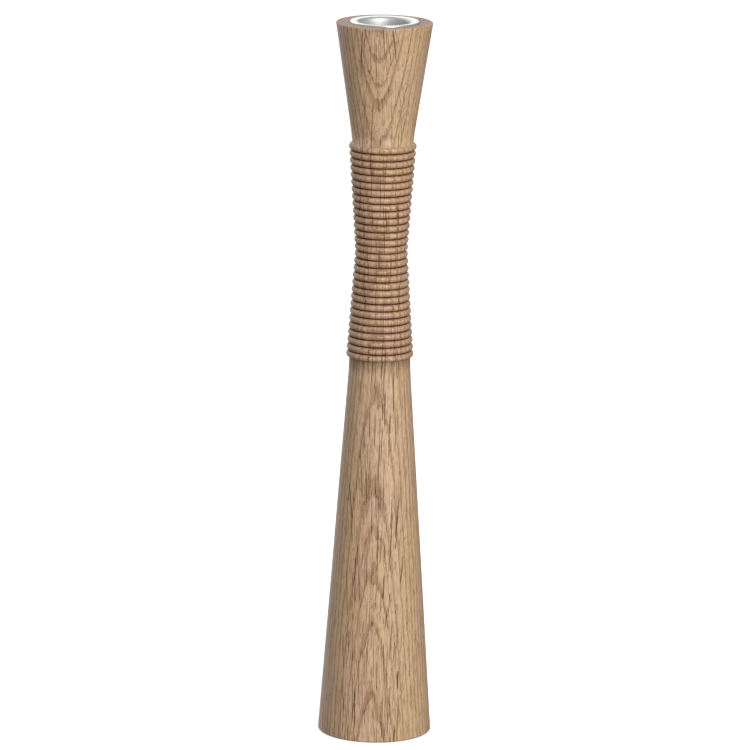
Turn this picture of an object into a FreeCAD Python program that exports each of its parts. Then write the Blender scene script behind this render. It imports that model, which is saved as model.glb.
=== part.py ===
"""Turned oak candlestick with a beaded grip and a loose metal candle cup.

The row frame is in millimetres. +Z is up, and the origin is the centre of the felt pad's
underside, which is the face that stands on the table.

The pieces, from the table up:
  felt_pad      felt disc let into the foot, standing just proud of the wood
  base_weight   steel slug in a pocket in the foot
  weight_screw  countersunk wood screw that holds the slug
  oak_column    one turned piece of oak: a plain foot cone, a waisted band of half-round
                beads, and a plain head cone that widens to the rim
  candle_cup    spun aluminium cup that drops into the head and rests on its flange

Each piece is a body in its own frame, with its origin on the axis at its lowest face, and its
Placement lifts it to its height in the row. Every size is bound to the spreadsheet "dims".
"""

import FreeCAD, Part
import os

import Sketcher

PARTS_FOLDER = "parts"
BEAD_COUNT = 30

# Driving dimensions in mm, and angles in degrees.
DRIVING = {
    "overall_height": 320.5,
    # Oak column, outside
    "foot_diameter": 50.4,
    "foot_cone_height": 170.1,
    "neck_diameter": 26.55,
    "rim_diameter": 42.65,
    "foot_edge_radius": 0.7,
    "rim_edge_radius": 0.4,
    # Band of beads: its root surface narrows from each end to the waist
    "bead_pitch": 3.2,
    "bead_radius": 1.5,
    "band_end_diameter": 27.05,
    "waist_diameter": 20.35,
    # Candle cup
    "candle_bore": 22.5,
    "cup_wall": 0.9,
    "cup_height": 23.4,
    "flange_diameter": 30.2,
    "flange_thickness": 1.0,
    "flange_proud": 0.6,
    "flange_edge_radius": 0.45,
    "lip_radius": 1.4,
    "neck_radius": 0.6,
    "cup_corner_radius": 1.5,
    # Seat for the cup in the column's head
    "seat_clearance": 0.2,
    "seat_floor_gap": 0.6,
    "seat_chamfer": 0.8,
    # Felt pad and its recess in the foot
    "pad_diameter": 42.0,
    "pad_thickness": 1.6,
    "pad_proud": 0.5,
    "pad_clearance": 0.2,
    # Steel weight and its pocket in the foot
    "weight_diameter": 32.0,
    "weight_height": 24.0,
    "weight_clearance": 0.15,
    "weight_chamfer": 1.0,
    # Screw that holds the weight
    "screw_length": 40.0,
    "screw_diameter": 4.0,
    "screw_head_diameter": 8.0,
    "screw_tip_length": 5.0,
    "screw_sink": 0.2,
    "screw_hole_clearance": 0.25,
    "pilot_spare_depth": 1.0,
    "drive_width": 4.4,
    "drive_slot": 1.0,
    "drive_depth": 1.5,
    "countersink_angle": 90.0,
}

# Lengths that several features share, as formulas on the spreadsheet.
WOOD_HEIGHT = "(dims.overall_height - dims.flange_proud - dims.pad_proud)"
BAND_HEIGHT = f"({BEAD_COUNT} * dims.bead_pitch)"
BAND_TOP = f"(dims.foot_cone_height + {BAND_HEIGHT})"
WAIST_HEIGHT = f"(dims.foot_cone_height + {BAND_HEIGHT} / 2)"
PAD_RECESS = "(dims.pad_thickness - dims.pad_proud)"
FLANGE_RECESS = "(dims.flange_thickness - dims.flange_proud)"
CUP_RADIUS = "(dims.candle_bore / 2 + dims.cup_wall)"
SEAT_RADIUS = f"({CUP_RADIUS} + dims.seat_clearance)"
SCREW_HEAD_HEIGHT = "((dims.screw_head_diameter - dims.screw_diameter) / 2)"


def make_sheet(doc):
    """The spreadsheet of driving dimensions: names in column A, numbers in column B."""
    sheet = doc.addObject("Spreadsheet::Sheet", "dims")
    for row, (alias, number) in enumerate(DRIVING.items(), start=1):
        sheet.set(f"A{row}", alias)
        sheet.set(f"B{row}", str(number))
        sheet.setAlias(f"B{row}", alias)
    doc.recompute()
    return sheet


def make_body(doc, label, height="0"):
    """An empty body whose origin stands at the given height above the table."""
    body = doc.addObject("PartDesign::Body", label)
    body.Label = label
    body.setExpression("Placement.Base.z", height)
    return body


def origin_plane(body, role):
    """The body's own origin plane with this role, such as XY_Plane."""
    for feature in body.Origin.OriginFeatures:
        if feature.Role == role:
            return feature
    raise ValueError(f"{body.Label} has no {role}")


def add_sketch(body, name, role, offset="0"):
    """An empty sketch on one of the body's origin planes, lifted off it by the offset."""
    sketch = body.newObject("Sketcher::SketchObject", name)
    sketch.AttachmentSupport = (origin_plane(body, role), [""])
    sketch.MapMode = "FlatFace"
    sketch.setExpression("AttachmentOffset.Base.z", offset)
    return sketch


def bind(sketch, constraint, formula):
    """Add a dimensional constraint whose value follows the formula."""
    index = sketch.addConstraint(constraint)
    sketch.setExpression(f"Constraints[{index}]", formula)


def pin_corner(sketch, line, across, up):
    """Fix the first end of a line at (across, up); "0" puts it on that axis."""
    axes = {"across": -2, "up": -1}
    if across == "0" and up == "0":
        sketch.addConstraint(Sketcher.Constraint("Coincident", line, 1, -1, 1))
        return
    if across == "0":
        sketch.addConstraint(Sketcher.Constraint("PointOnObject", line, 1, axes["across"]))
    else:
        value = float(sketch.evalExpression(across))
        bind(sketch, Sketcher.Constraint("DistanceX", -1, 1, line, 1, value), across)
    if up == "0":
        sketch.addConstraint(Sketcher.Constraint("PointOnObject", line, 1, axes["up"]))
    else:
        value = float(sketch.evalExpression(up))
        bind(sketch, Sketcher.Constraint("DistanceY", -1, 1, line, 1, value), up)


def add_outline(sketch, corners):
    """A closed outline of straight lines through (across, up) formulas."""
    points = [FreeCAD.Vector(float(sketch.evalExpression(across)),
                             float(sketch.evalExpression(up)), 0) for across, up in corners]
    count = len(points)
    for line in range(count):
        sketch.addGeometry(Part.LineSegment(points[line], points[(line + 1) % count]), False)
    for line in range(count):
        following = (line + 1) % count
        sketch.addConstraint(Sketcher.Constraint("Coincident", line, 2, following, 1))
    for line, (across, up) in enumerate(corners):
        pin_corner(sketch, line, across, up)


def turn(body, kind, name, corners):
    """Revolve an outline of (radius, height) corners: kind is Revolution or Groove."""
    sketch = add_sketch(body, f"{name}_outline", "XZ_Plane")
    add_outline(sketch, corners)
    feature = body.newObject(f"PartDesign::{kind}", name)
    feature.Profile = sketch
    feature.ReferenceAxis = (sketch, ["V_Axis"])
    feature.Angle = 360.0
    sketch.Visibility = False
    body.Document.recompute()
    return feature


def add_disc_sketch(body, name, diameter, offset="0"):
    """A sketch of one circle on the body's axis."""
    sketch = add_sketch(body, name, "XY_Plane", offset)
    radius = float(sketch.evalExpression(diameter)) / 2
    centre = FreeCAD.Vector(0, 0, 0)
    sketch.addGeometry(Part.Circle(centre, FreeCAD.Vector(0, 0, 1), radius), False)
    sketch.addConstraint(Sketcher.Constraint("Coincident", 0, 3, -1, 1))
    bind(sketch, Sketcher.Constraint("Diameter", 0, 2 * radius), diameter)
    return sketch


def pad_disc(body, name, diameter, height):
    """A disc or rod that stands on the body's origin."""
    feature = body.newObject("PartDesign::Pad", name)
    feature.Profile = add_disc_sketch(body, f"{name}_circle", diameter)
    feature.setExpression("Length", height)
    body.Document.recompute()
    return feature


def ring_edge(feature, diameter, height):
    """The name of the feature's circular edge with this diameter at this height."""
    radius = float(feature.evalExpression(diameter)) / 2
    level = float(feature.evalExpression(height))
    for number, edge in enumerate(feature.Shape.Edges, start=1):
        if not isinstance(edge.Curve, Part.Circle):
            continue
        close_radius = abs(edge.Curve.Radius - radius) < 1e-4
        if close_radius and abs(edge.Curve.Center.z - level) < 1e-4:
            return f"Edge{number}"
    raise ValueError(f"{feature.Name} has no ring of radius {radius} at {level}")


def dress_ring(body, kind, name, diameter, height, size):
    """Fillet or chamfer the ring edge with this diameter and height."""
    base = body.Tip
    feature = body.newObject(f"PartDesign::{kind}", name)
    feature.Base = (base, [ring_edge(base, diameter, height)])
    feature.setExpression("Radius" if kind == "Fillet" else "Size", size)
    base.Visibility = False
    body.Document.recompute()
    return feature


def check_cut(feature, volume_before):
    """Stop if a cut took no material away."""
    if feature.Shape.Volume > volume_before - 1e-3:
        raise RuntimeError(f"{feature.Name} cuts nothing")


def cut_by_turning(body, name, corners):
    """A groove turned out of the body, with its outline as (radius, height) corners."""
    volume_before = body.Shape.Volume
    check_cut(turn(body, "Groove", name, corners), volume_before)


def add_beads(body):
    """The half-round beads, each a torus whose tube is centred on the band's root surface."""
    narrowing = "(dims.band_end_diameter - dims.waist_diameter)"
    for number in range(BEAD_COUNT):
        height = f"(dims.foot_cone_height + {number + 0.5} * dims.bead_pitch)"
        from_waist = f"(abs({height} - {WAIST_HEIGHT}) / ({BAND_HEIGHT} / 2))"
        bead = body.newObject("PartDesign::AdditiveTorus", f"bead_{number + 1:02d}")
        bead.setExpression("Radius1", f"(dims.waist_diameter + {narrowing} * {from_waist}) / 2")
        bead.setExpression("Radius2", "dims.bead_radius")
        bead.setExpression("Placement.Base.z", height)
    body.Document.recompute()


def make_oak_column(doc):
    """The turned column: blank, beads, rounded edges, cup seat and foot pocket."""
    body = make_body(doc, "oak_column", "dims.pad_proud")
    turn(body, "Revolution", "blank", [
        ("0", "0"),
        ("dims.foot_diameter / 2", "0"),
        ("dims.neck_diameter / 2", "dims.foot_cone_height"),
        ("dims.band_end_diameter / 2", "dims.foot_cone_height"),
        ("dims.waist_diameter / 2", WAIST_HEIGHT),
        ("dims.band_end_diameter / 2", BAND_TOP),
        ("dims.neck_diameter / 2", BAND_TOP),
        ("dims.rim_diameter / 2", WOOD_HEIGHT),
        ("0", WOOD_HEIGHT),
    ])
    add_beads(body)
    dress_ring(body, "Fillet", "foot_edge", "dims.foot_diameter", "0",
               "dims.foot_edge_radius")
    dress_ring(body, "Fillet", "rim_edge", "dims.rim_diameter", WOOD_HEIGHT,
               "dims.rim_edge_radius")
    recess_floor = f"({WOOD_HEIGHT} - {FLANGE_RECESS})"
    seat_floor = f"({WOOD_HEIGHT} + dims.flange_proud - dims.cup_height - dims.seat_floor_gap)"
    recess_radius = "(dims.flange_diameter / 2 + dims.seat_clearance)"
    cut_by_turning(body, "cup_seat", [
        ("0", seat_floor),
        (SEAT_RADIUS, seat_floor),
        (SEAT_RADIUS, f"{recess_floor} - dims.seat_chamfer"),
        (f"{SEAT_RADIUS} + dims.seat_chamfer", recess_floor),
        (recess_radius, recess_floor),
        (recess_radius, WOOD_HEIGHT),
        ("0", WOOD_HEIGHT),
    ])
    pocket_radius = "(dims.weight_diameter / 2 + dims.weight_clearance)"
    pocket_top = f"({PAD_RECESS} + dims.weight_height)"
    pilot_top = f"({PAD_RECESS} + dims.screw_sink + dims.screw_length + dims.pilot_spare_depth)"
    cut_by_turning(body, "foot_pocket", [
        ("0", "0"),
        ("dims.pad_diameter / 2 + dims.pad_clearance", "0"),
        ("dims.pad_diameter / 2 + dims.pad_clearance", PAD_RECESS),
        (pocket_radius, PAD_RECESS),
        (pocket_radius, pocket_top),
        ("dims.screw_diameter / 2", pocket_top),
        ("dims.screw_diameter / 2", f"{pilot_top} - dims.screw_tip_length"),
        ("0", pilot_top),
    ])
    return body


def make_candle_cup(doc):
    """The spun cup: a straight wall, a rounded floor and a flange with a rolled lip."""
    body = make_body(doc, "candle_cup", "dims.overall_height - dims.cup_height")
    flange_underside = "(dims.cup_height - dims.flange_thickness)"
    turn(body, "Revolution", "spun_wall", [
        ("0", "0"),
        (CUP_RADIUS, "0"),
        (CUP_RADIUS, flange_underside),
        ("dims.flange_diameter / 2", flange_underside),
        ("dims.flange_diameter / 2", "dims.cup_height"),
        ("dims.candle_bore / 2", "dims.cup_height"),
        ("dims.candle_bore / 2", "dims.cup_wall"),
        ("0", "dims.cup_wall"),
    ])
    outside = f"2 * {CUP_RADIUS}"
    rings = [
        ("lip", "dims.candle_bore", "dims.cup_height", "dims.lip_radius"),
        ("flange_top", "dims.flange_diameter", "dims.cup_height", "dims.flange_edge_radius"),
        ("flange_foot", "dims.flange_diameter", flange_underside, "dims.flange_edge_radius"),
        ("flange_neck", outside, flange_underside, "dims.neck_radius"),
        ("floor_inside", "dims.candle_bore", "dims.cup_wall", "dims.cup_corner_radius"),
        ("floor_outside", outside, "0", "dims.cup_corner_radius + dims.cup_wall"),
    ]
    for name, diameter, height, radius in rings:
        dress_ring(body, "Fillet", name, diameter, height, radius)
    return body


def make_felt_pad(doc):
    """The felt disc that the candlestick stands on."""
    body = make_body(doc, "felt_pad")
    pad_disc(body, "felt_disc", "dims.pad_diameter", "dims.pad_thickness")
    return body


def make_base_weight(doc):
    """The steel slug, chamfered at both ends and countersunk underneath for its screw."""
    body = make_body(doc, "base_weight", "dims.pad_thickness")
    pad_disc(body, "slug", "dims.weight_diameter", "dims.weight_height")
    for name, height in (("lower_chamfer", "0"), ("upper_chamfer", "dims.weight_height")):
        dress_ring(body, "Chamfer", name, "dims.weight_diameter", height,
                   "dims.weight_chamfer")
    volume_before = body.Shape.Volume
    hole = body.newObject("PartDesign::Hole", "screw_hole")
    clearance = "2 * dims.screw_hole_clearance"
    shank_hole = f"dims.screw_diameter + {clearance}"
    hole.Profile = add_disc_sketch(body, "screw_hole_circle", shank_hole)
    body.Document.recompute()
    hole.DepthType = "ThroughAll"
    hole.HoleCutType = "Countersink"
    hole.HoleCutCustomValues = True
    hole.setExpression("Diameter", shank_hole)
    hole.setExpression("HoleCutDiameter",
                       f"dims.screw_head_diameter + 2 * dims.screw_sink + {clearance}")
    hole.setExpression("HoleCutCountersinkAngle", "dims.countersink_angle")
    hole.Reversed = True
    body.Document.recompute()
    check_cut(hole, volume_before)
    return body


def make_weight_screw(doc):
    """The countersunk wood screw, head down, with a cross-shaped driver recess."""
    body = make_body(doc, "weight_screw", "dims.pad_thickness + dims.screw_sink")
    turn(body, "Revolution", "shank_and_head", [
        ("0", "0"),
        ("dims.screw_head_diameter / 2", "0"),
        ("dims.screw_diameter / 2", SCREW_HEAD_HEIGHT),
        ("dims.screw_diameter / 2", "dims.screw_length - dims.screw_tip_length"),
        ("0", "dims.screw_length"),
    ])
    volume_before = body.Shape.Volume
    sketch = add_sketch(body, "driver_slot_outline", "XY_Plane")
    half_width = "dims.drive_width / 2"
    half_slot = "dims.drive_slot / 2"
    add_outline(sketch, [
        (f"-{half_width}", f"-{half_slot}"),
        (half_width, f"-{half_slot}"),
        (half_width, half_slot),
        (f"-{half_width}", half_slot),
    ])
    slot = body.newObject("PartDesign::Pocket", "driver_slot")
    slot.Profile = sketch
    slot.Reversed = True
    slot.setExpression("Length", "dims.drive_depth")
    body.Document.recompute()
    check_cut(slot, volume_before)
    cross = body.newObject("PartDesign::PolarPattern", "driver_cross")
    cross.Originals = [slot]
    cross.Axis = (sketch, ["N_Axis"])
    cross.Angle = 90.0
    cross.Occurrences = 2
    body.Tip = cross
    volume_before = slot.Shape.Volume
    body.Document.recompute()
    check_cut(cross, volume_before)
    return body


def check_document(doc, bodies):
    """Stop if a feature failed or a piece isn't one valid solid."""
    for item in doc.Objects:
        if "Invalid" in item.State or "Error" in item.State:
            raise RuntimeError(f"{item.Name} failed: {item.State}")
    for body in bodies:
        shape = body.Shape
        if shape.isNull() or not shape.isValid() or len(shape.Solids) != 1:
            raise RuntimeError(f"{body.Label} is not one valid solid")


def main():
    doc = FreeCAD.newDocument("candlestick")
    make_sheet(doc)
    makers = (make_felt_pad, make_base_weight, make_weight_screw, make_oak_column,
              make_candle_cup)
    bodies = [maker(doc) for maker in makers]
    doc.recompute()
    check_document(doc, bodies)
    os.makedirs(PARTS_FOLDER, exist_ok=True)
    for body in bodies:
        body.Shape.exportStep(os.path.join(PARTS_FOLDER, f"{body.Label}.step"))
        box = body.Shape.BoundBox
        print(f"{body.Label}: {body.Shape.Volume:.0f} mm3, z {box.ZMin:.2f} to {box.ZMax:.2f}")


main()
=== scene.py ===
"""Looks of the turned oak candlestick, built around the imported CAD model."""

import math
import random

import bmesh
import bpy
from mathutils import Matrix, Vector, noise


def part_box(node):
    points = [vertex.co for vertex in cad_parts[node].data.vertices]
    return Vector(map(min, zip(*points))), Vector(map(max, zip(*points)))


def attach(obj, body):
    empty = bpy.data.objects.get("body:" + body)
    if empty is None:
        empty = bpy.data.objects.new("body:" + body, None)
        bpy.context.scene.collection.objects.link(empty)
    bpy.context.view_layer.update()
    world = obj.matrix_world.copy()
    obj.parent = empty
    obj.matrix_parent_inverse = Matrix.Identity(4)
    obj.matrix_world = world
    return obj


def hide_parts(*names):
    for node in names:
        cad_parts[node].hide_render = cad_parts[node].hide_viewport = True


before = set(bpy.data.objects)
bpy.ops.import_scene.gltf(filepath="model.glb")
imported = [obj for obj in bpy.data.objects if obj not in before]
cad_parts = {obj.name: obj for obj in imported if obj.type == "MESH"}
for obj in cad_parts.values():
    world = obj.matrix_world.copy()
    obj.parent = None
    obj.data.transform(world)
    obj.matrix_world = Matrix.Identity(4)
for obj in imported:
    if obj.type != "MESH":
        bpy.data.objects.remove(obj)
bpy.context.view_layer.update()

MM = 0.001

# ---------------------------------------------------------------------------
# Sizes in mm. The ones that the CAD nodes give are read from the frame.
# ---------------------------------------------------------------------------


def node_box(node):
    """A node's lowest and highest corner, in mm."""
    low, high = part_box(node)
    return low / MM, high / MM


COLUMN_LOW, COLUMN_HIGH = node_box("oak_column")
CUP_LOW, CUP_HIGH = node_box("candle_cup")
PAD_LOW, PAD_HIGH = node_box("felt_pad")
WEIGHT_HIGH = node_box("base_weight")[1]
SCREW_HIGH = node_box("weight_screw")[1]

WOOD_BOTTOM = COLUMN_LOW.z
WOOD_TOP = COLUMN_HIGH.z
FOOT_RADIUS = 25.2
RIM_RADIUS = 21.325
NECK_RADIUS = 13.275
# The radius of each rounded edge, and how far in from the sharp corner the middle of its arc
# lies, in such radii, so that the arc meets both the flat face and the sloping side.
FOOT_EDGE = 0.7
FOOT_EDGE_INSET = 1.07
RIM_EDGE = 0.4
RIM_EDGE_INSET = 1.16

BEAD_COUNT = 30
BEAD_PITCH = 3.2
BEAD_RADIUS = 1.5
BEAD_HALF_ARC = 86
BAND_BOTTOM = WOOD_BOTTOM + 170.1
BAND_TOP = BAND_BOTTOM + BEAD_COUNT * BEAD_PITCH
BAND_END_RADIUS = 13.525
WAIST_RADIUS = 10.175

CUP_RADIUS = 12.15
BORE_RADIUS = 11.25
FLANGE_RADIUS = CUP_HIGH.x
FLANGE_THICKNESS = 1.0
CUP_WALL = 0.9

PAD_RADIUS = PAD_HIGH.x
PAD_CLEARANCE = 0.2
SEAT_CLEARANCE = 0.2
POCKET_RADIUS = WEIGHT_HIGH.x + 0.15
PILOT_RADIUS = 2.0
SEAT_FLOOR = CUP_LOW.z - 0.6
RECESS_FLOOR = CUP_HIGH.z - FLANGE_THICKNESS

# Below this radius a point of a profile is taken to lie on the axis.
ON_AXIS = 1e-6
COLUMN_SEGMENTS = 256
CUP_SEGMENTS = 192
FELT_SEGMENTS = 160

# ---------------------------------------------------------------------------
# Turned meshes
# ---------------------------------------------------------------------------


def arc(centre, radius, start, end, steps):
    """Points (r, z) on an arc about a centre, from one angle to another in degrees."""
    points = []
    for step in range(steps + 1):
        angle = math.radians(start + (end - start) * step / steps)
        points.append((centre[0] + radius * math.cos(angle),
                       centre[1] + radius * math.sin(angle)))
    return points


def line(start, end, steps):
    """Points from start up to, but not including, end."""
    return [(start[0] + (end[0] - start[0]) * step / steps,
             start[1] + (end[1] - start[1]) * step / steps) for step in range(steps)]


def finished(name, mesh):
    """An object in the scene from a bmesh, with its faces turned outwards."""
    bmesh.ops.recalc_face_normals(mesh, faces=mesh.faces)
    data = bpy.data.meshes.new(name)
    mesh.to_mesh(data)
    mesh.free()
    piece = bpy.data.objects.new(name, data)
    bpy.context.scene.collection.objects.link(piece)
    return piece


def lathe(name, profile, segments, offset=None):
    """A closed mesh turned about Z from an open (r, z) profile that starts and ends on the axis.

    offset(angle, r, z) gives how far a point is moved along its radius, in mm.
    """
    mesh = bmesh.new()
    rings = []
    for radius, height in profile:
        if radius < ON_AXIS:
            rings.append([mesh.verts.new((0, 0, height * MM))])
            continue
        ring = []
        for segment in range(segments):
            angle = 2 * math.pi * segment / segments
            moved = radius + (offset(angle, radius, height) if offset else 0.0)
            ring.append(mesh.verts.new((moved * MM * math.cos(angle),
                                        moved * MM * math.sin(angle), height * MM)))
        rings.append(ring)
    for lower, upper in zip(rings, rings[1:]):
        for segment in range(segments):
            following = (segment + 1) % segments
            corners = [lower[segment % len(lower)], lower[following % len(lower)],
                       upper[following % len(upper)], upper[segment % len(upper)]]
            unique = list(dict.fromkeys(corners))
            mesh.faces.new(unique)
    piece = finished(name, mesh)
    piece.data.shade_smooth()
    return piece


def band_root(height):
    """The band's root radius at a height: straight from the waist to each end."""
    middle = (BAND_BOTTOM + BAND_TOP) / 2
    share = abs(height - middle) / ((BAND_TOP - BAND_BOTTOM) / 2)
    return WAIST_RADIUS + (BAND_END_RADIUS - WAIST_RADIUS) * share


def bead_profile():
    """Half-round beads on the waisted root, with a narrow flat between neighbours."""
    hand = random.Random(7)
    points = []
    for number in range(BEAD_COUNT):
        height = BAND_BOTTOM + (number + 0.5) * BEAD_PITCH
        radius = BEAD_RADIUS + hand.uniform(-0.03, 0.01)
        height += hand.uniform(-0.03, 0.03)
        root = band_root(height)
        points += arc((root, height), radius, -BEAD_HALF_ARC, BEAD_HALF_ARC, 9)
    return points


def column_profile():
    """The oak's whole outline, from the pilot hole in the foot, round the outside, to the seat."""
    # The pilot hole ends in the drill's cone. The weight's pocket opens below it.
    pilot_tip = SCREW_HIGH.z + 1.0
    pilot_shoulder = SCREW_HIGH.z - 4.0
    points = [(0, pilot_tip)]
    points += [(PILOT_RADIUS, pilot_shoulder), (PILOT_RADIUS, WEIGHT_HIGH.z)]
    points += [(POCKET_RADIUS, WEIGHT_HIGH.z), (POCKET_RADIUS, PAD_HIGH.z)]

    # The felt's recess, with its edge broken.
    pad_recess = PAD_RADIUS + PAD_CLEARANCE
    broken = 0.1
    points += [(pad_recess, PAD_HIGH.z), (pad_recess, WOOD_BOTTOM + broken)]
    points += [(pad_recess + broken, WOOD_BOTTOM)]

    # The foot cone, the band and the head cone.
    foot_slope = math.degrees(math.atan2(FOOT_RADIUS - NECK_RADIUS, BAND_BOTTOM - WOOD_BOTTOM))
    foot_centre = (FOOT_RADIUS - FOOT_EDGE * FOOT_EDGE_INSET, WOOD_BOTTOM + FOOT_EDGE)
    points += arc(foot_centre, FOOT_EDGE, -90, foot_slope, 6)
    points += line(points[-1], (NECK_RADIUS, BAND_BOTTOM), 26)[1:]
    points += bead_profile()
    head_slope = math.degrees(math.atan2(RIM_RADIUS - NECK_RADIUS, WOOD_TOP - BAND_TOP))
    rim_centre = (RIM_RADIUS - RIM_EDGE * RIM_EDGE_INSET, WOOD_TOP - RIM_EDGE)
    rim = arc(rim_centre, RIM_EDGE, -head_slope, 90, 6)
    points += line((NECK_RADIUS, BAND_TOP), rim[0], 12)[1:]
    points += rim

    # The top face, the flange's recess and the cup's seat with a bevelled mouth.
    recess_radius = FLANGE_RADIUS + SEAT_CLEARANCE
    seat_radius = CUP_RADIUS + SEAT_CLEARANCE
    middle_of_top = 18.5
    bevel = 0.8
    points += [(middle_of_top, WOOD_TOP), (recess_radius + 0.12, WOOD_TOP)]
    points += [(recess_radius, WOOD_TOP - broken), (recess_radius, RECESS_FLOOR)]
    points += [(seat_radius + bevel, RECESS_FLOOR), (seat_radius, RECESS_FLOOR - bevel)]
    points += [(seat_radius, SEAT_FLOOR), (0, SEAT_FLOOR)]
    return points


def column_offset(angle, radius, height):
    """The small unevenness that a hand-held gouge and a drying board leave in the wood.

    The pilot hole, the top face and the underside stay true.
    """
    inside = radius < NECK_RADIUS - 5
    if inside or height > WOOD_TOP - 0.05 or height < WOOD_BOTTOM + 0.05:
        return 0.0
    place = Vector((math.cos(angle), math.sin(angle), height / 60.0))
    return 0.05 * noise.noise(place * 1.3) - 0.03


def make_column():
    """The turned oak, which stands for the CAD column.

    Its attribute "groove" is 1 at the bottom of each groove of the band and 0 on the crests
    and everywhere else.
    """
    column = lathe("turned_oak", column_profile(), COLUMN_SEGMENTS, column_offset)
    groove = column.data.attributes.new("groove", "FLOAT", "POINT")
    for vertex in column.data.vertices:
        radius = math.hypot(vertex.co.x, vertex.co.y) / MM
        height = vertex.co.z / MM
        depth = 0.0
        in_band = BAND_BOTTOM + 0.4 < height < BAND_TOP - 0.4
        if in_band and radius > WAIST_RADIUS - 1:
            depth = 1.0 - (radius - band_root(height)) / BEAD_RADIUS
        groove.data[vertex.index].value = max(0.0, min(1.0, depth))
    return column


def cup_profile():
    """The spun wall: underside, outside, rolled flange, soft lip, bore and rounded floor."""
    floor = CUP_LOW.z
    top = CUP_HIGH.z
    # The floor's corner, inside, and the fillet between the wall and the flange's underside.
    corner = 1.5
    fillet = 0.6
    points = [(0, floor)]
    points += arc((CUP_RADIUS - corner - CUP_WALL, floor + corner + CUP_WALL),
                  corner + CUP_WALL, -90, 0, 8)
    points += arc((CUP_RADIUS + fillet, top - FLANGE_THICKNESS - fillet), fillet, 180, 90, 5)

    # The rolled edge stands a little proud of the flange's dished face.
    roll = FLANGE_THICKNESS / 2
    roll_centre = (FLANGE_RADIUS - roll, top - roll)
    dish = 0.12
    points += arc(roll_centre, roll, -90, 90, 10)
    points += arc(roll_centre, roll, 96, 108, 2)
    points += [(FLANGE_RADIUS - 1.3, top - dish)]

    # The lip turns over into the bore.
    lip = 1.5
    points += arc((BORE_RADIUS + lip, top - dish - 0.05 - lip), lip, 88, 180, 10)
    points += line((BORE_RADIUS, top - 3), (BORE_RADIUS, floor + CUP_WALL + corner), 6)
    points += arc((BORE_RADIUS - corner, floor + CUP_WALL + corner), corner, 0, -90, 8)
    points += [(6.0, floor + CUP_WALL), (0, floor + CUP_WALL)]
    return points


def make_cup():
    """The spun aluminium cup, which stands for the CAD cup."""
    return lathe("spun_cup", cup_profile(), CUP_SEGMENTS)


def make_felt():
    """The felt disc, with soft edges and the slight lumps of pressed wool."""
    edge = 0.35
    low = PAD_LOW.z
    high = PAD_HIGH.z
    points = [(0, low)]
    points += line((3.0, low), (PAD_RADIUS - edge, low), 9)
    points += arc((PAD_RADIUS - edge, low + edge), edge, -90, 0, 5)
    points += arc((PAD_RADIUS - edge, high - edge), edge, 0, 90, 5)
    points += [(0, high)]

    def ragged(angle, radius, height):
        place = Vector((math.cos(angle) * 9, math.sin(angle) * 9, height))
        return 0.06 * noise.noise(place) - 0.06 if radius > PAD_RADIUS - edge else 0.0

    return lathe("felt_disc", points, FELT_SEGMENTS, ragged)


def make_thread():
    """The helical ridge of the wood screw, tapered away at both ends."""
    pitch = 1.8
    core = PILOT_RADIUS - 0.15
    crest = PILOT_RADIUS + 0.35
    half_width = 0.32
    start = WEIGHT_HIGH.z - 2.0
    end = SCREW_HIGH.z - 4.6
    per_turn = 32
    # The ridge grows and fades over one part in this many of its length, and never quite to 0.
    taper = 12
    least = 0.05
    steps = int((end - start) / pitch * per_turn)
    mesh = bmesh.new()
    sections = []
    for step in range(steps + 1):
        angle = 2 * math.pi * step / per_turn
        height = start + (end - start) * step / steps
        fade = min(1.0, taper * step / steps, taper * (steps - step) / steps)
        ridge = core + (crest - core) * max(fade, least)
        section = [(core, height - half_width), (ridge, height), (core, height + half_width)]
        sections.append([mesh.verts.new((radius * MM * math.cos(angle),
                                         radius * MM * math.sin(angle),
                                         level * MM)) for radius, level in section])
    for lower, upper in zip(sections, sections[1:]):
        for corner in range(3):
            following = (corner + 1) % 3
            mesh.faces.new((lower[corner], lower[following], upper[following], upper[corner]))
    mesh.faces.new(sections[0])
    mesh.faces.new(sections[-1][::-1])
    return finished("screw_thread", mesh)


# ---------------------------------------------------------------------------
# Materials
# ---------------------------------------------------------------------------


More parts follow.
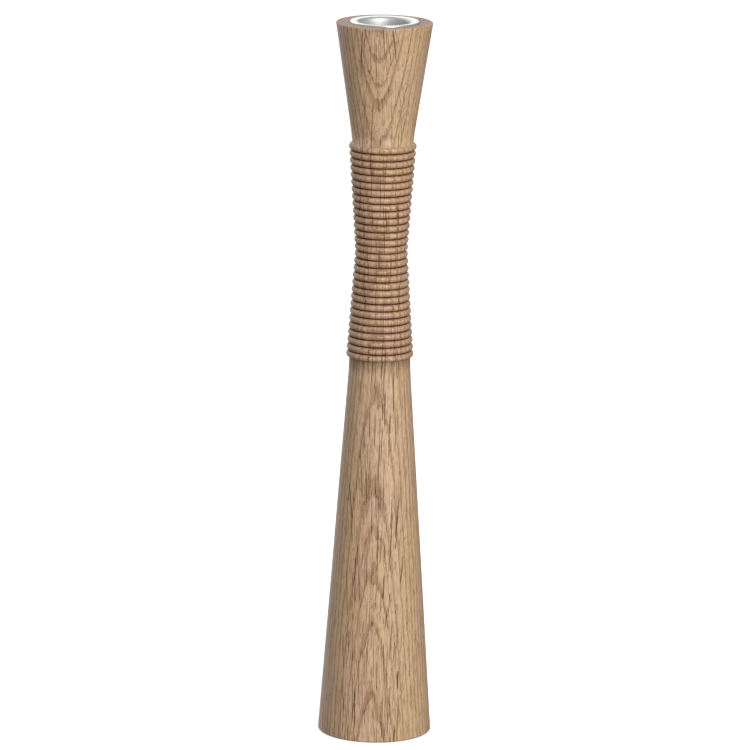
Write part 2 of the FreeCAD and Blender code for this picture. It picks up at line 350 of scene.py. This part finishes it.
class Graph:
    """Shorthand for a material's nodes: each method adds a node and returns its output."""

    def __init__(self, name):
        self.material = bpy.data.materials.new(name)
        self.material.use_nodes = True
        self.nodes = self.material.node_tree.nodes
        self.links = self.material.node_tree.links
        self.shader = self.nodes["Principled BSDF"]

    def put(self, socket, value):
        """Link a socket to an output, or set it to a constant."""
        if isinstance(value, bpy.types.NodeSocket):
            self.links.new(value, socket)
        else:
            socket.default_value = value

    def place(self):
        """Object coordinates in mm."""
        source = self.nodes.new("ShaderNodeTexCoord").outputs["Object"]
        return self.vector("SCALE", source, scale=1 / MM)

    def vector(self, operation, first, second=None, scale=None):
        """One step of vector arithmetic."""
        node = self.nodes.new("ShaderNodeVectorMath")
        node.operation = operation
        self.put(node.inputs[0], first)
        if second is not None:
            self.put(node.inputs[1], second)
        if scale is not None:
            self.put(node.inputs["Scale"], scale)
        return node.outputs["Value" if operation in ("LENGTH", "DOT_PRODUCT") else "Vector"]

    def math(self, operation, first, second=0.0):
        """One step of arithmetic on two numbers. Some operations use only the first."""
        node = self.nodes.new("ShaderNodeMath")
        node.operation = operation
        self.put(node.inputs[0], first)
        self.put(node.inputs[1], second)
        return node.outputs[0]

    def split(self, vector):
        """The x, y and z of a vector, or the red, green and blue of a colour."""
        node = self.nodes.new("ShaderNodeSeparateXYZ")
        self.put(node.inputs[0], vector)
        return node.outputs

    def join(self, across, back, up):
        """A vector from its x, y and z."""
        node = self.nodes.new("ShaderNodeCombineXYZ")
        for socket, value in zip(node.inputs, (across, back, up)):
            self.put(socket, value)
        return node.outputs[0]

    def noise(self, vector, scale=1.0, detail=2.0, roughness=0.5, colour=False):
        """Smooth noise from 0 to 1, or three independent ones as a colour."""
        node = self.nodes.new("ShaderNodeTexNoise")
        self.put(node.inputs["Vector"], vector)
        node.inputs["Scale"].default_value = scale
        node.inputs["Detail"].default_value = detail
        node.inputs["Roughness"].default_value = roughness
        return node.outputs["Color" if colour else "Fac"]

    def ramp(self, value, low, high, bottom=0.0, top=1.0, smooth=True):
        """Map value from low..high to bottom..top, held at both ends."""
        node = self.nodes.new("ShaderNodeMapRange")
        node.interpolation_type = "SMOOTHSTEP" if smooth else "LINEAR"
        self.put(node.inputs["Value"], value)
        for name, number in (("From Min", low), ("From Max", high),
                             ("To Min", bottom), ("To Max", top)):
            self.put(node.inputs[name], number)
        return node.outputs["Result"]

    def mix(self, share, first, second):
        """Mix two colours: share is how much of the second there is."""
        node = self.nodes.new("ShaderNodeMix")
        node.data_type = "RGBA"
        self.put(node.inputs[0], share)
        self.put(node.inputs[6], first)
        self.put(node.inputs[7], second)
        return node.outputs[2]

    def bump(self, height, distance):
        """Relief: height 0..1 stands for this distance in mm."""
        node = self.nodes.new("ShaderNodeBump")
        node.inputs["Distance"].default_value = distance * MM
        node.inputs["Strength"].default_value = 1.0
        self.put(node.inputs["Height"], height)
        return node.outputs["Normal"]

    def set(self, name, value):
        """Set or link one input of the material's surface."""
        self.put(self.shader.inputs[name], value)


def linear(red, green, blue):
    """An sRGB colour, 0 to 255, as the linear RGBA that shaders use."""
    parts = []
    for part in (red, green, blue):
        share = part / 255
        parts.append(share / 12.92 if share <= 0.04045 else ((share + 0.055) / 1.055) ** 2.4)
    return (*parts, 1.0)


OAK_PALE = linear(217, 184, 150)
OAK_PINK = linear(212, 176, 146)
OAK_YELLOW = linear(213, 180, 141)
OAK_BROWN = linear(140, 98, 60)
OAK_DARK = linear(80, 42, 12)
# Greyer end grain: its own tone and a painted sheen.
OAK_END_GRAIN_SHEEN = linear(202, 184, 178)
# The band's darker tone, on all but its crests.
OAK_BAND_DARKER = linear(148, 74, 40)
# Painted shade in the bottoms of the grooves.
OAK_GROOVE_SHADE = linear(64, 24, 4)
# Shaded and lit copies of one aluminium: painted shade in the bore, painted light on the flange.
CUP_BORE_SHADED = (0.70, 0.70, 0.695, 1.0)
CUP_FLANGE_LIT = (0.98, 0.978, 0.97, 1.0)
FELT_DARK = linear(58, 44, 34)
FELT_BROWN = linear(84, 66, 52)
FELT_LIGHT = linear(98, 78, 61)
ZINC = (0.62, 0.60, 0.54, 1.0)
STEEL = (0.44, 0.44, 0.45, 1.0)
WHITE = (1.0, 1.0, 1.0, 1.0)

# The pith lies in front of the stick, so the rings make arches on the front of each cone.
# Each ring starts at its own distance in mm from the pith: here are those that the front
# meets, and the rest follow at an even gap on both sides.
PITH = (-3.5, -46.0, 0.0)
FRONT_RINGS = (22.5, 24.9, 26.7, 28.2, 29.2, 32.1)
RING_GAP = 2.45
INNER_RINGS = 9
OUTER_RINGS = 20

# The grid that holds the marks in the wood, as steps in mm. Rays and checks are plates, so
# theirs are steps round the pith, away from it and up, and their thickness is true at the
# distance PLATE_DISTANCE from the pith. Those of vessels and pores are steps in x, y and z.
RAY_STEPS = (1.5, 7.0, 34.0)
CHECK_STEPS = (4.2, 9.0, 30.0)
PLATE_DISTANCE = 27.0
VESSEL_STEPS = (0.62, 0.62, 14.0)
PORE_STEPS = (0.45, 0.45, 5.0)

# Half the length of the longest mark, as a share of its step along the grain.
MARK_REACH = 0.42

# The upward part of a surface's normal between which side grain turns into end grain.
SIDE_GRAIN = 0.80
END_GRAIN = 0.97

# Leaves x and y of a vector, and drops z.
LEVEL = (1.0, 1.0, 0.0)
HALF = (0.5, 0.5, 0.5)


def ring_phase(g, distance):
    """How far through its ring a point is, 0 to 1, from its distance to the pith in mm."""
    starts = [FRONT_RINGS[0] * number / INNER_RINGS for number in range(INNER_RINGS)]
    starts += FRONT_RINGS
    starts += [FRONT_RINGS[-1] + RING_GAP * number for number in range(1, OUTER_RINGS)]
    reach = starts[-1]
    last = len(starts) - 1
    curve = g.nodes.new("ShaderNodeFloatCurve")
    mapping = curve.mapping.curves[0]
    for number, start in enumerate(starts[1:-1], start=1):
        mapping.points.new(start / reach, number / last)
    for point in mapping.points:
        point.handle_type = "VECTOR"
    curve.mapping.update()
    g.put(curve.inputs["Value"], g.math("DIVIDE", distance, reach))
    return g.math("FRACT", g.math("MULTIPLY", curve.outputs[0], float(last)))


def marks(g, cell, width, fan=None):
    """Thin marks along the grain, one in each cell of an uneven grid, from 0 to 1.

    cell is the place in grid steps, with z along the grain. width is a mark's half width in
    steps. The marks are thin along x and y. With fan, which is how much wider the steps have
    grown along x, they are plates, thin along x only and of an even thickness.
    """
    node = g.nodes.new("ShaderNodeTexVoronoi")
    node.inputs["Scale"].default_value = 1.0
    g.put(node.inputs["Vector"], cell)
    away = g.vector("SUBTRACT", cell, node.outputs["Position"])
    offset = g.split(away)
    kind = g.split(node.outputs["Color"])
    half = g.ramp(kind[0], 0.0, 1.0, MARK_REACH * 0.35, MARK_REACH, smooth=False)
    lengthwise = g.ramp(g.math("DIVIDE", g.math("ABSOLUTE", offset[2]), half), 0.7, 1.0, 1.0, 0.0)
    if fan is None:
        aside = g.vector("LENGTH", g.vector("MULTIPLY", away, LEVEL))
    else:
        aside = g.math("MULTIPLY", g.math("ABSOLUTE", offset[0]), fan)
    sideways = g.ramp(aside, width * 0.45, width, 1.0, 0.0)
    strength = g.ramp(kind[1], 0.25, 0.95, 0.2, 1.0)
    return g.math("MULTIPLY", g.math("MULTIPLY", lengthwise, sideways), strength)


def wandering_grain(g, place):
    """The place as the rings see it, and as the fibres do: the grain wanders and ripples.

    All noise in the oak is stretched along z: its scales are per mm across, across and along.
    """
    slow = g.noise(g.vector("MULTIPLY", place, (0.05, 0.05, 0.014)), detail=1, colour=True)
    fine = g.noise(g.vector("MULTIPLY", place, (0.3, 0.3, 0.07)), detail=2, colour=True)
    wander = g.vector("SUBTRACT", slow, HALF)
    ripple = g.vector("SUBTRACT", fine, HALF)

    def moved(wander_mm, ripple_mm):
        leaned = g.vector("ADD", place, g.vector("SCALE", wander, scale=wander_mm))
        return g.vector("ADD", leaned, g.vector("SCALE", ripple, scale=ripple_mm))

    return moved(3.0, 1.2), moved(5.0, 1.1)


def oak_plates(g, place, grain, outward, from_pith):
    """Rays and drying checks: thin upright plates that point at the pith, each from 0 to 1.

    They show where the surface cuts across them, and fade where it runs along them.
    """
    centred = g.split(g.vector("SUBTRACT", grain, PITH))
    bearing = g.math("MULTIPLY", g.math("ARCTAN2", centred[0], centred[1]), -PITH[1])
    fan = g.math("DIVIDE", from_pith, PLATE_DISTANCE)
    facing = g.math("ABSOLUTE", g.vector("DOT_PRODUCT", g.vector("NORMALIZE", outward),
                                         g.vector("NORMALIZE", g.vector("MULTIPLY", place, LEVEL))))

    def plates(steps, shift, width, hidden, shown):
        round_pith = g.math("ADD", g.math("DIVIDE", bearing, steps[0]), shift)
        cell = g.join(round_pith, g.math("DIVIDE", from_pith, steps[1]),
                      g.math("DIVIDE", centred[2], steps[2]))
        return g.math("MULTIPLY", marks(g, cell, width, fan), g.ramp(facing, hidden, shown))

    rays = plates(RAY_STEPS, 0.0, 0.17, 0.35, 0.75)
    checks = plates(CHECK_STEPS, 0.37, 0.085, 0.25, 0.6)
    return rays, checks


def oak_colour(g, grain, fibre, early):
    """The wood between the marks: pink and yellow streaks, early wood, coarse and fine fibre."""
    streak = g.noise(g.vector("MULTIPLY", grain, (0.24, 0.24, 0.014)), detail=3, roughness=0.6)
    blotch = g.noise(g.vector("MULTIPLY", grain, (0.12, 0.12, 0.02)), detail=2)
    coarse = g.noise(g.vector("MULTIPLY", grain, (0.75, 0.75, 0.07)), detail=2, roughness=0.5)
    pale = g.mix(g.ramp(streak, 0.38, 0.62), OAK_PALE, OAK_PINK)
    warm = g.mix(g.ramp(blotch, 0.38, 0.62), pale, OAK_YELLOW)
    toned = g.mix(g.math("MULTIPLY", early, 0.52), warm, OAK_BROWN)
    coarsened = g.mix(g.ramp(coarse, 0.42, 0.68, 0.0, 0.24), toned, OAK_BROWN)
    return g.mix(g.ramp(fibre, 0.46, 0.70, 0.0, 0.52), coarsened, OAK_BROWN)


def oak_material():
    """Flat-sawn oak: growth rings, crowded early-wood pores, rays, fibre and broad streaks."""
    g = Graph("oiled_oak")
    place = g.place()
    ring_place, grain = wandering_grain(g, place)
    outward = g.vector("MULTIPLY", g.vector("SUBTRACT", ring_place, PITH), LEVEL)
    from_pith = g.vector("LENGTH", outward)
    phase = ring_phase(g, from_pith)
    early = g.math("MULTIPLY", g.ramp(phase, 0.0, 0.06), g.ramp(phase, 0.12, 0.40, 1.0, 0.0))
    rays, checks = oak_plates(g, place, grain, outward, from_pith)
    vessels = marks(g, g.vector("DIVIDE", grain, VESSEL_STEPS), 0.30)
    pores = marks(g, g.vector("DIVIDE", grain, PORE_STEPS), 0.38)
    pores = g.math("MULTIPLY", pores, g.math("ADD", g.math("MULTIPLY", early, 0.9), 0.1))
    fibre = g.noise(g.vector("MULTIPLY", grain, (2.0, 2.0, 0.28)), detail=3, roughness=0.65)

    colour = oak_colour(g, grain, fibre, early)
    for mark, share in ((vessels, 0.50), (pores, 0.90), (rays, 0.85), (checks, 0.80)):
        colour = g.mix(g.math("MULTIPLY", mark, share), colour, OAK_DARK)

    # End grain gets a greyer colour: its own tone and a painted sheen. The band is a little darker,
    # all but its crests, and the bottoms of its grooves get painted shade.
    normal = g.split(g.nodes.new("ShaderNodeNewGeometry").outputs["Normal"])
    endwise = g.math("ABSOLUTE", normal[2])
    colour = g.mix(g.ramp(endwise, SIDE_GRAIN, END_GRAIN, 0.0, 0.7), colour, OAK_END_GRAIN_SHEEN)
    groove_node = g.nodes.new("ShaderNodeAttribute")
    groove_node.attribute_name = "groove"
    depth = groove_node.outputs["Fac"]
    groove = g.ramp(depth, 0.25, 0.95)
    colour = g.mix(g.ramp(depth, 0.0, 0.02, 0.0, 0.16), colour, OAK_BAND_DARKER)
    # Painted shade in the grooves.
    g.set("Base Color", g.mix(g.math("MULTIPLY", groove, 0.90), colour, OAK_GROOVE_SHADE))

    # The marks, the grooves and the end grain are too rough and deep to shine.
    hollow = g.math("MAXIMUM", g.math("MAXIMUM", rays, checks), g.math("MAXIMUM", vessels, groove))
    sheen = g.math("MULTIPLY", g.ramp(hollow, 0.0, 1.0, 0.55, 0.03),
                   g.ramp(endwise, SIDE_GRAIN, END_GRAIN, 1.0, 0.1))
    g.set("Specular IOR Level", sheen)
    matt = g.ramp(endwise, SIDE_GRAIN, END_GRAIN, 0.0, 0.85)
    g.set("Roughness", g.math("MAXIMUM", g.ramp(fibre, 0.3, 0.7, 0.44, 0.52), matt))

    # Fibres stand up a little, and the marks are dents.
    dents = g.math("ADD", g.math("MULTIPLY", vessels, 0.5), g.math("MULTIPLY", pores, 0.6))
    dents = g.math("ADD", dents, g.math("MAXIMUM", rays, g.math("MULTIPLY", checks, 1.8)))
    g.set("Normal", g.bump(g.math("SUBTRACT", g.math("MULTIPLY", fibre, 0.4), dents), 0.16))
    return g.material


def turning_rings(g, place, per_mm):
    """The distance from the axis in mm, and noise drawn out into rings round it."""
    radius = g.vector("LENGTH", g.vector("MULTIPLY", place, LEVEL))
    drawn = g.join(g.math("MULTIPLY", radius, per_mm), 0.0,
                   g.math("MULTIPLY", g.split(place)[2], per_mm))
    return radius, g.noise(drawn, detail=2)


def spun_metal_material():
    """Satin aluminium with the fine rings that spinning leaves."""
    g = Graph("spun_aluminium")
    place = g.place()
    radius, rings = turning_rings(g, place, 7.0)
    cloud = g.noise(place, scale=0.35, detail=2)
    # The flange is burnished smoother and the bore left rougher. The flange's lighter colour is
    # painted light, and the bore's darker one is painted shade inside the cup.
    flange_from = CUP_RADIUS + 1.0
    flange_lit = g.ramp(radius, BORE_RADIUS, flange_from)
    rough = g.ramp(radius, BORE_RADIUS, flange_from, 0.54, 0.28)
    g.set("Base Color", g.mix(flange_lit, CUP_BORE_SHADED, CUP_FLANGE_LIT))
    g.set("Metallic", 0.85)
    g.set("Roughness", g.math("ADD", rough, g.ramp(cloud, 0.3, 0.7, 0.0, 0.04)))
    g.set("Normal", g.bump(rings, 0.002))
    return g.material


def steel_material(name, colour, roughness, rings_per_mm):
    """Machined steel with turning rings."""
    g = Graph(name)
    rings = turning_rings(g, g.place(), rings_per_mm)[1]
    spread = 0.06
    g.set("Base Color", colour)
    g.set("Metallic", 1.0)
    g.set("Roughness", g.ramp(rings, 0.3, 0.7, roughness - spread, roughness + spread))
    g.set("Normal", g.bump(rings, 0.02))
    return g.material


def felt_material():
    """Pressed wool felt: matted fibres of slightly different browns."""
    g = Graph("wool_felt")
    place = g.place()
    swirl = g.noise(place, scale=0.8, detail=2, colour=True)
    matted = g.vector("ADD", place, g.vector("SCALE", swirl, scale=2.5))
    fibre = g.noise(matted, scale=2.4, detail=4, roughness=0.7)
    cloud = g.noise(place, scale=0.12, detail=2)
    base = g.mix(g.ramp(cloud, 0.3, 0.7), FELT_BROWN, FELT_LIGHT)
    g.set("Base Color", g.mix(g.ramp(fibre, 0.35, 0.7), base, FELT_DARK))
    g.set("Roughness", 0.95)
    g.set("Sheen Weight", 0.35)
    g.set("Sheen Roughness", 0.5)
    g.set("Normal", g.bump(fibre, 0.25))
    return g.material


def dress(piece, material):
    """Give a piece one material."""
    piece.data.materials.clear()
    piece.data.materials.append(material)


# ---------------------------------------------------------------------------
# Pieces
# ---------------------------------------------------------------------------

column = make_column()
dress(column, oak_material())
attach(column, "column")
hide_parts("oak_column")

cup = make_cup()
dress(cup, spun_metal_material())
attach(cup, "cup")
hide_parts("candle_cup")

felt = make_felt()
dress(felt, felt_material())
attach(felt, "column")
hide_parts("felt_pad")

zinc = steel_material("zinc_plate", ZINC, 0.36, 3.0)
thread = make_thread()
dress(thread, zinc)
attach(thread, "column")
dress(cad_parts["weight_screw"], zinc)
dress(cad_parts["base_weight"], steel_material("turned_steel", STEEL, 0.42, 2.0))

# ---------------------------------------------------------------------------
# Stage, light and camera
# ---------------------------------------------------------------------------


TABLE_HALF = 6.0
TABLE_GAP = 0.1

# The room's brightness, and how much it grows along each axis. The backdrop is a round glow:
# its direction, the cosine of the angle at which it ends, and how much it adds in the middle.
ROOM_LEVEL = 0.21
ROOM_SLOPE = (-0.02, 0.0, 0.12)
BACKDROP_TOWARDS = (-0.42, 0.89, 0.18)
BACKDROP_EDGE = 0.60
BACKDROP_GLOW = 1.25

KEY_PLACE = (0.90, -2.05, 1.10)
KEY_TARGET = (0.0, 0.0, 0.16)
KEY_SIZE = 1.2
KEY_POWER = 56.0

# The camera's place in metres, and its angles in degrees: how far it looks down, and how far
# it is turned about its own view.
CAMERA_PLACE = (-0.00195, -2.602, 0.728)
CAMERA_DOWN = 12.27
CAMERA_LEAN = 0.846
CAMERA_LENS = 289.1
CAMERA_SENSOR = 36.0


def make_floor():
    """A plain white table top, far larger than the view, a hair below the felt.

    It is white to the camera only, and throws no light on the object.
    """
    data = bpy.data.meshes.new("floor")
    under = -TABLE_GAP * MM
    corners = [(-TABLE_HALF, -TABLE_HALF, under), (TABLE_HALF, -TABLE_HALF, under),
               (TABLE_HALF, TABLE_HALF, under), (-TABLE_HALF, TABLE_HALF, under)]
    data.from_pydata(corners, [], [(0, 1, 2, 3)])
    floor = bpy.data.objects.new("floor", data)
    bpy.context.scene.collection.objects.link(floor)
    g = Graph("white_table")
    g.set("Base Color", (0.8, 0.8, 0.8, 1.0))
    g.set("Roughness", 0.9)
    g.set("Emission Color", WHITE)
    g.set("Emission Strength", 0.75)
    dress(floor, g.material)
    floor.visible_diffuse = False
    floor.visible_glossy = False


def make_world():
    """A white room, a little brighter overhead, with a bright backdrop behind the object."""
    world = bpy.data.worlds.new("white_room")
    world.use_nodes = True
    nodes = world.node_tree.nodes
    links = world.node_tree.links
    direction = nodes.new("ShaderNodeTexCoord").outputs["Generated"]

    def along(vector):
        node = nodes.new("ShaderNodeVectorMath")
        node.operation = "DOT_PRODUCT"
        node.inputs[1].default_value = vector
        links.new(direction, node.inputs[0])
        return node.outputs["Value"]

    glow = nodes.new("ShaderNodeMapRange")
    glow.inputs["From Min"].default_value = BACKDROP_EDGE
    glow.inputs["From Max"].default_value = 1.0
    glow.inputs["To Min"].default_value = ROOM_LEVEL
    glow.inputs["To Max"].default_value = ROOM_LEVEL + BACKDROP_GLOW
    links.new(along(BACKDROP_TOWARDS), glow.inputs["Value"])
    level = nodes.new("ShaderNodeMath")
    level.operation = "ADD"
    links.new(along(ROOM_SLOPE), level.inputs[0])
    links.new(glow.outputs["Result"], level.inputs[1])
    links.new(level.outputs[0], nodes["Background"].inputs["Strength"])
    nodes["Background"].inputs["Color"].default_value = WHITE
    bpy.context.scene.world = world


def make_key():
    """A square softbox in front, to the right and above, that faces the object."""
    data = bpy.data.lights.new("key", "AREA")
    data.size = KEY_SIZE
    data.energy = KEY_POWER
    lamp = bpy.data.objects.new("key", data)
    lamp.location = KEY_PLACE
    towards = Vector(KEY_TARGET) - Vector(KEY_PLACE)
    lamp.rotation_euler = towards.to_track_quat("-Z", "Y").to_euler()
    bpy.context.scene.collection.objects.link(lamp)


def make_camera():
    """A long lens from slightly above, with a small lean."""
    data = bpy.data.cameras.new("camera")
    data.sensor_width = CAMERA_SENSOR
    data.lens = CAMERA_LENS
    data.clip_start = 0.1
    camera = bpy.data.objects.new("camera", data)
    tilt = Matrix.Rotation(math.radians(90 - CAMERA_DOWN), 4, "X")
    lean = Matrix.Rotation(math.radians(CAMERA_LEAN), 4, "Z")
    camera.matrix_world = Matrix.Translation(CAMERA_PLACE) @ tilt @ lean
    bpy.context.scene.collection.objects.link(camera)
    bpy.context.scene.camera = camera


make_floor()
make_world()
make_key()
make_camera()
bpy.context.scene.view_settings.view_transform = "Standard"
